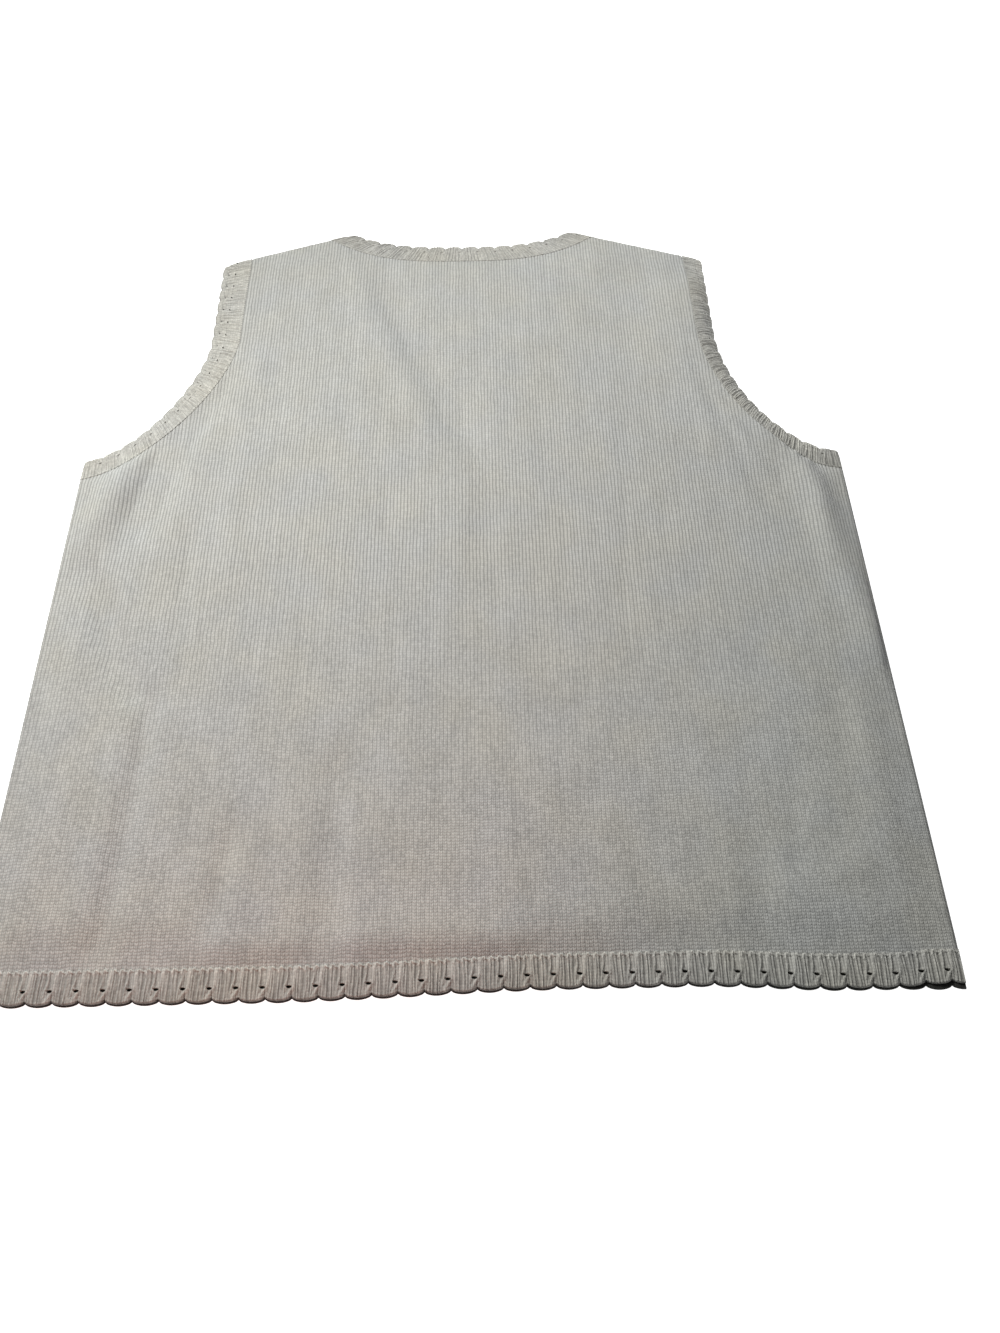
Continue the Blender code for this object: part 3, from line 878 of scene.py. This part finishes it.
def band_shades(points, layer, style, scallops):
    """How light a band's upper and lower side are: painted shade and highlight, seam dots and specks."""
    u, v, width = points.u, points.v, points.width
    # Painted shade: the lower a point lies between the ribs, the darker it is
    height = np.clip(points.relief, 0.0, 1.0) ** SHADE_EXPONENT
    shade = style.valley_shade + (1.0 - style.valley_shade) * height
    # Painted highlight: the tallest strands are lighter, as they stand nearest the light
    highlight_start, highlight_end = PAINTED_HIGHLIGHT_SPAN
    highlight_range = highlight_end - highlight_start
    shade += style.shine * np.clip(points.relief - highlight_start, 0.0, highlight_range) / highlight_range
    # Painted light (tone above 1) and painted shade (tone below 1) over the whole band
    shade *= style.tone
    # Painted shade where the band leans down away from its lifted seam
    shade *= 1.0 - LEAN_SHADE * np.clip(points.lean, 0.0, 1.0)
    # Painted shade darkens the free edge where the band curves down; a value below 0 paints light there
    # instead
    shade *= 1.0 + style.fade * (EDGE_SHADE_MIDDLE - np.clip(v, 0.0, 1.0))
    # Painted shade beside the vest's side, at the underarm
    by_side = smooth(1.0 - (HALF_WIDTH - np.abs(points.x)) / UNDERARM_SHADE_REACH)
    shade *= 1.0 - style.side_shade * by_side
    dots = 0.5 + 0.5 * np.cos(2.0 * math.pi * WALES_PER_SCALLOP * u)
    shade *= 1.0 - (1.0 - style.dot_shade) * dots * bell(v * width / SEAM_DOT_REACH)
    wale = u * WALES_PER_SCALLOP
    for row, seed in SPECK_ROWS:
        darkness = np.random.default_rng(seed).random(scallops * WALES_PER_SCALLOP + 1)
        at_wale = darkness[np.floor(wale).astype(int)]
        aside = (wale % 1.0 - 0.5) * points.pitch / WALES_PER_SCALLOP
        shade *= 1.0 - style.specks * at_wale * bell(np.hypot(aside, (v - row) * width) / SPECK_REACH)
    # Painted shade in each notch of the free edge, where it curls
    in_notch = bell(points.from_notch / NOTCH_SHADE_REACH) * smooth_over(v, NOTCH_SHADE_SPAN)
    shade *= 1.0 - NOTCH_SHADE * in_notch
    # Painted shadow along the free edge's rim, and painted shade over the front's upper side under the back
    under = 1.0 - (1.0 - RIM_SHADE) * smooth_over(v, UNDER_RIM_SPAN)
    if layer == "back":
        return shade * (1.0 - (1.0 - BACK_RIM_SHADE) * smooth_over(v, BACK_RIM_SPAN)), under
    rim = smooth_over(v, (style.rim_start, FRONT_RIM_END))
    return style.top_shade * (1.0 - (1.0 - RIM_SHADE / style.top_shade) * rim), under * shade


def edge_is_left(seam_points, across):
    """Whether the free edge lies to the left of the way that the seam runs."""
    step = seam_points[1] - seam_points[0]
    return step[0] * across[0, 1] - step[1] * across[0, 0] > 0.0


def band(node, layer, seam, edge, scallops, style, material, rests_on, edge_shares=None):
    """A rib band between a seam and a free edge, with a notch between scallops and an eyelet in each."""
    columns = SCALLOP_COLUMNS[layer]
    place = np.arange(scallops * columns + 1) / columns
    ends = np.arange(scallops + 1)
    if edge_shares is None:
        edge_shares = np.linspace(0.0, 1.0, scallops + 1)
    seam_points = at_shares(seam, place / scallops)
    across = at_shares(edge, np.interp(place, ends, edge_shares)) - seam_points
    length = path_length(seam)
    pitch = length / scallops
    widths = np.linalg.norm(across, axis=1)
    width = float(widths.mean())

    u, v, hole = band_grid(place, layer, style, pitch, width)
    wave = np.abs(np.sin(math.pi * (u + style.phase)))
    notch = style.notch * (1.0 - wave**SCALLOP_ROUNDNESS)
    below = np.clip(v, 0.0, 1.0)
    seam_at = at_shares(seam, u.ravel() / scallops).reshape(u.shape + (2,))
    edge_at = at_shares(edge, np.interp(u.ravel(), ends, edge_shares)).reshape(u.shape + (2,))
    flat = seam_at + (edge_at - seam_at) * (v * (1.0 - notch * below))[..., None]

    arches = style.arches and layer == "back"
    relief = strand_relief(in_scallop(u + wander(u, v), layer, style), v, pitch, width, style.leaf, arches)
    lift = back_height(*seam_points.T) - REST if layer == "back" else np.zeros(len(place))
    lean = 2.0 * lift * below / widths
    from_notch = np.abs((u + style.phase + 0.5) % 1.0 - 0.5) * pitch
    points = BandPoints(u, v, flat[..., 0], flat[..., 1], pitch, width, relief, lift, lean, from_notch)
    upper, lower = band_heights(points, layer, style)
    upper_shade, lower_shade = band_shades(points, layer, style, scallops)
    knit = np.stack([u * WALES_PER_SCALLOP, v * width / COURSE], axis=-1)

    index = np.arange(u.size).reshape(u.shape)
    j, i = np.nonzero(~hole)
    faces = np.stack([index[j, i], index[j + 1, i], index[j + 1, i + 1], index[j, i + 1]], axis=1)
    if edge_is_left(seam_points, across):
        faces = faces[:, ::-1]
    used, faces = np.unique(faces, return_inverse=True)
    faces = faces.reshape(-1, 4).tolist()

    def kept(values):
        return values.reshape(index.size, -1)[used].squeeze()

    shades = (kept(upper_shade), kept(lower_shade))
    piece = wall(node + "_rib", kept(flat), faces, kept(upper), kept(lower), kept(knit), shades, material)
    dress(piece, node)


def mitred(count):
    """Shares along an edge that crowd towards its middle, where the ribs of both sides meet."""
    half = 1.0 - (1.0 - np.linspace(0.0, 1.0, count // 2 + 1)) ** MITRE_CROWDING
    return np.concatenate([half, 2.0 - half[-2::-1]]) / 2


# --- Materials


class Nodes:
    """Short names for the nodes that a cloth's material is made of."""

    def __init__(self, tree):
        self.tree = tree

    def feed(self, socket, value):
        if isinstance(value, bpy.types.NodeSocket):
            self.tree.links.new(value, socket)
        else:
            socket.default_value = value

    def new(self, kind, values=(), **settings):
        """A new node, with some of its inputs, by their names or numbers, fed with values or sockets."""
        node = self.tree.nodes.new(kind)
        for key, value in settings.items():
            setattr(node, key, value)
        for key, value in dict(values).items():
            self.feed(node.inputs[key], value)
        return node

    def maths(self, operation, *values):
        return self.new("ShaderNodeMath", enumerate(values), operation=operation).outputs[0]

    def plus(self, first, second):
        return self.maths("ADD", first, second)

    def minus(self, first, second):
        return self.maths("SUBTRACT", first, second)

    def times(self, first, second):
        return self.maths("MULTIPLY", first, second)

    def combine(self, x, y, z):
        return self.new("ShaderNodeCombineXYZ", enumerate((x, y, z))).outputs[0]

    def noise(self, vector, scale, detail):
        values = {"Vector": vector, "Scale": scale, "Detail": detail}
        return self.new("ShaderNodeTexNoise", values).outputs["Fac"]

    def spread(self, value, span, out_low, out_high):
        """Maps a span of a value onto another one, without leaving it."""
        values = {
            "Value": value,
            "From Min": span[0],
            "From Max": span[1],
            "To Min": out_low,
            "To Max": out_high,
        }
        return self.new("ShaderNodeMapRange", values).outputs[0]

    def mix(self, factor, first, second, blend="MIX"):
        """Mixes two colours, which are the mix node's inputs 6 and 7 and its output 2."""
        values = {0: factor, 6: first, 7: second}
        return self.new("ShaderNodeMix", values, data_type="RGBA", blend_type=blend).outputs[2]

    def grain(self, u, v, across, up, scale, detail):
        """Noise over the knit map, stretched along the wales."""
        place = self.combine(self.times(u, across), self.times(v, up), 0.0)
        return self.noise(place, scale, detail)


def knit_map(nodes):
    """The place in the knit, in wales across and courses up, a little uneven."""
    layout = nodes.new("ShaderNodeUVMap", uv_map="knit").outputs[0]
    u, v, _ = nodes.new("ShaderNodeSeparateXYZ", {0: layout}).outputs
    waver = nodes.grain(u, v, *WAVER_GRAIN)
    u = nodes.plus(u, nodes.spread(waver, NOISE_SPAN, -WAVER_ACROSS, WAVER_ACROSS))
    v = nodes.plus(v, nodes.spread(waver, NOISE_SPAN, WAVER_UP, -WAVER_UP))
    return u, v


def stitches(nodes, u, v, course_low):
    """Each stitch's height, and its place up the wale: it has two legs, which climb outwards."""
    from_middle = nodes.maths("ABSOLUTE", nodes.minus(nodes.maths("FRACT", u), 0.5))
    outwards = nodes.times(from_middle, 2.0)
    ridge = nodes.maths("POWER", nodes.maths("COSINE", nodes.times(outwards, 0.5 * math.pi)), WALE_EXPONENT)
    crisp = nodes.spread(v, CRISP_COURSES, *CRISPNESS)
    middle = nodes.spread(v, CRISP_COURSES, *WALE_MIDDLE)
    ridge = nodes.times(ridge, nodes.spread(outwards, (0.0, WALE_MIDDLE_REACH), middle, 1.0))
    mean = nodes.spread(v, CRISP_COURSES, *WALE_MEAN)
    ridge = nodes.plus(nodes.times(nodes.minus(ridge, mean), crisp), mean)
    climb = nodes.minus(v, nodes.times(outwards, STITCH_CLIMB))
    lobe = nodes.maths("SINE", nodes.times(nodes.maths("FRACT", climb), math.pi))
    low = nodes.spread(v, CRISP_COURSES, course_low, UPPER_COURSE_LOW)
    return nodes.times(ridge, nodes.spread(lobe, (0.0, 1.0), low, 1.0)), climb


def heather(nodes, u, v, climb):
    """From deep to pale: each leg has its own tone, in lengths of yarn, faint stripes and soft mottling."""
    one_leg = nodes.combine(nodes.maths("FLOOR", nodes.times(u, 2.0)), nodes.maths("FLOOR", climb), 0.0)
    tone = nodes.new("ShaderNodeTexWhiteNoise", {"Vector": one_leg}, noise_dimensions="2D")
    tone = nodes.times(tone.outputs["Value"], nodes.spread(v, CRISP_COURSES, *STITCH_TONES))
    paleness = nodes.spread(nodes.grain(u, v, *YARN_GRAIN), NOISE_SPAN, *YARN_TONES)
    paleness = nodes.plus(paleness, tone)
    stripes = nodes.spread(nodes.grain(u, v, *STRIPE_GRAIN), NOISE_SPAN, *STRIPE_TONES)
    paleness = nodes.plus(paleness, stripes)
    clouds = nodes.spread(nodes.grain(u, v, *CLOUD_GRAIN), NOISE_SPAN, -0.5, 0.5)
    clouds = nodes.times(clouds, nodes.spread(v, CRISP_COURSES, *CLOUD_DEPTH))
    return nodes.plus(paleness, nodes.plus(clouds, CLOUD_TONE))


def knit_cloth(name, yarn):
    """Matt heather yarn in V stitches, laid out by the knit map."""
    material = bpy.data.materials.new(name)
    material.use_nodes = True
    nodes = Nodes(material.node_tree)
    shader = material.node_tree.nodes["Principled BSDF"]
    shader.inputs["Roughness"].default_value = ROUGHNESS
    shader.inputs["Specular IOR Level"].default_value = SPECULAR
    shader.inputs["Sheen Weight"].default_value = SHEEN
    shader.inputs["Sheen Roughness"].default_value = SHEEN_ROUGHNESS

    u, v = knit_map(nodes)
    place = nodes.new("ShaderNodeTexCoord").outputs["Object"]
    stitch, climb = stitches(nodes, u, v, yarn.course_low)
    colour = nodes.mix(heather(nodes, u, v, climb), (*yarn.deep, 1.0), (*yarn.pale, 1.0))
    drift = nodes.spread(nodes.noise(place, TINT_SCALE, TINT_DETAIL), TINT_SPAN, 0.0, 1.0)
    colour = nodes.mix(1.0, colour, nodes.mix(drift, (*COOL, 1.0), (*WARM, 1.0)), "MULTIPLY")
    # Painted shade in the gaps between stitches and wales, a little darker up the garment
    gap_shade = nodes.spread(v, CRISP_COURSES, yarn.gap_shade, yarn.gap_shade - UPPER_GAP_DARKER)
    shade = nodes.spread(stitch, (0.0, STITCH_TOP), gap_shade, 1.0)
    # Painted shade and light of each point, from its shade attribute
    painted_shade = nodes.new("ShaderNodeAttribute", attribute_type="GEOMETRY", attribute_name="shade")
    shade = nodes.times(shade, painted_shade.outputs["Fac"])
    colour = nodes.mix(1.0, colour, nodes.combine(shade, shade, shade), "MULTIPLY")
    nodes.feed(shader.inputs["Base Color"], colour)

    fuzz = nodes.noise(place, FUZZ_SCALE, FUZZ_DETAIL)
    relief = nodes.plus(stitch, nodes.times(fuzz, FUZZ_DEPTH))
    bump = nodes.new("ShaderNodeBump", {"Strength": 1.0, "Distance": STITCH_DEPTH, "Height": relief})
    nodes.feed(shader.inputs["Normal"], bump.outputs[0])
    return material


# --- Floor, light and camera


def hang(light, energy, colour, place, aim):
    light.energy = energy
    light.color = colour
    lamp = bpy.data.objects.new(light.name, light)
    lamp.location = place
    lamp.rotation_euler = (Vector(aim) - lamp.location).to_track_quat("-Z", "Y").to_euler()
    bpy.context.scene.collection.objects.link(lamp)


def disk_light(name, size, *hanging):
    light = bpy.data.lights.new(name, "AREA")
    light.shape = "DISK"
    light.size = size
    hang(light, *hanging)


def spot_light(name, angle, blend, size, *hanging):
    light = bpy.data.lights.new(name, "SPOT")
    light.shadow_soft_size = size
    light.spot_size = angle
    light.spot_blend = blend
    hang(light, *hanging)


def studio():
    bpy.ops.mesh.primitive_plane_add(size=FLOOR_SIZE, location=(0.0, 0.0, -FLOOR_DROP))
    floor = bpy.context.object
    floor.name = "floor"
    pale = bpy.data.materials.new("floor")
    pale.use_nodes = True
    shader = pale.node_tree.nodes["Principled BSDF"]
    shader.inputs["Base Color"].default_value = (FLOOR_GREY, FLOOR_GREY, FLOOR_GREY, 1.0)
    shader.inputs["Roughness"].default_value = 1.0
    shader.inputs["Specular IOR Level"].default_value = 0.0
    shader.inputs["Emission Color"].default_value = (1.0, 1.0, 1.0, 1.0)
    shader.inputs["Emission Strength"].default_value = FLOOR_GLOW
    floor.data.materials.append(pale)

    scene = bpy.context.scene
    world = bpy.data.worlds.new("studio")
    world.use_nodes = True
    world.node_tree.nodes["Background"].inputs["Color"].default_value = (1.0, 1.0, 1.0, 1.0)
    world.node_tree.nodes["Background"].inputs["Strength"].default_value = WORLD_STRENGTH
    scene.world = world

    disk_light("key", *KEY)
    disk_light("top_fill", *TOP_FILL)
    spot_light("warm_fill", WARM_FILL_ANGLE, WARM_FILL_BLEND, *WARM_FILL)
    scene.view_settings.view_transform = "Standard"


def camera():
    data = bpy.data.cameras.new("camera")
    data.lens = CAMERA_FOCAL_PIXELS * data.sensor_width / CAMERA_FRAME_HEIGHT_PIXELS
    data.clip_start = CAMERA_CLIP_START
    seat = bpy.data.objects.new("camera", data)
    seat.location = (CAMERA_X, CAMERA_Y + FOOT_Y, CAMERA_HEIGHT)
    seat.rotation_euler = (math.radians(90.0 - CAMERA_PITCH), 0.0, math.radians(CAMERA_TURN))
    bpy.context.scene.collection.objects.link(seat)
    bpy.context.scene.camera = seat


def main():
    camera()
    studio()
    jersey = knit_cloth("jersey", JERSEY)
    rib = knit_cloth("rib", RIB)
    panel("front", jersey)
    panel("back", jersey)
    for layer in ("front", "back"):
        rests_on = RESTS_ON[layer]
        lines = hem_line(layer, HEM_BAND), hem_line(layer, HEM_EDGE_Y[layer])
        band("hem_band_" + layer, layer, *lines, HEM_SCALLOPS, STYLES["hem_" + layer], rib, rests_on)
        for side in ("left", "right"):
            armhole = f"{side}_{layer}"
            lines = armhole_line(armhole, False), armhole_line(armhole, True)
            band("armhole_band_" + armhole, layer, *lines, ARMHOLE_SCALLOPS, STYLES[armhole], rib, rests_on)
    lines = neck_line("back", False), neck_line("back", True)
    band("neckband_back", "back", *lines, BACK_NECK_SCALLOPS, NECK_STYLE, rib, ["neckband_front_rib"])
    lines = neck_line("front", False), neck_line("front", True)
    shares = mitred(FRONT_NECK_SCALLOPS)
    band("neckband_front", "front", *lines, FRONT_NECK_SCALLOPS, NECK_STYLE, rib, RESTS_ON["front"], shares)


main()
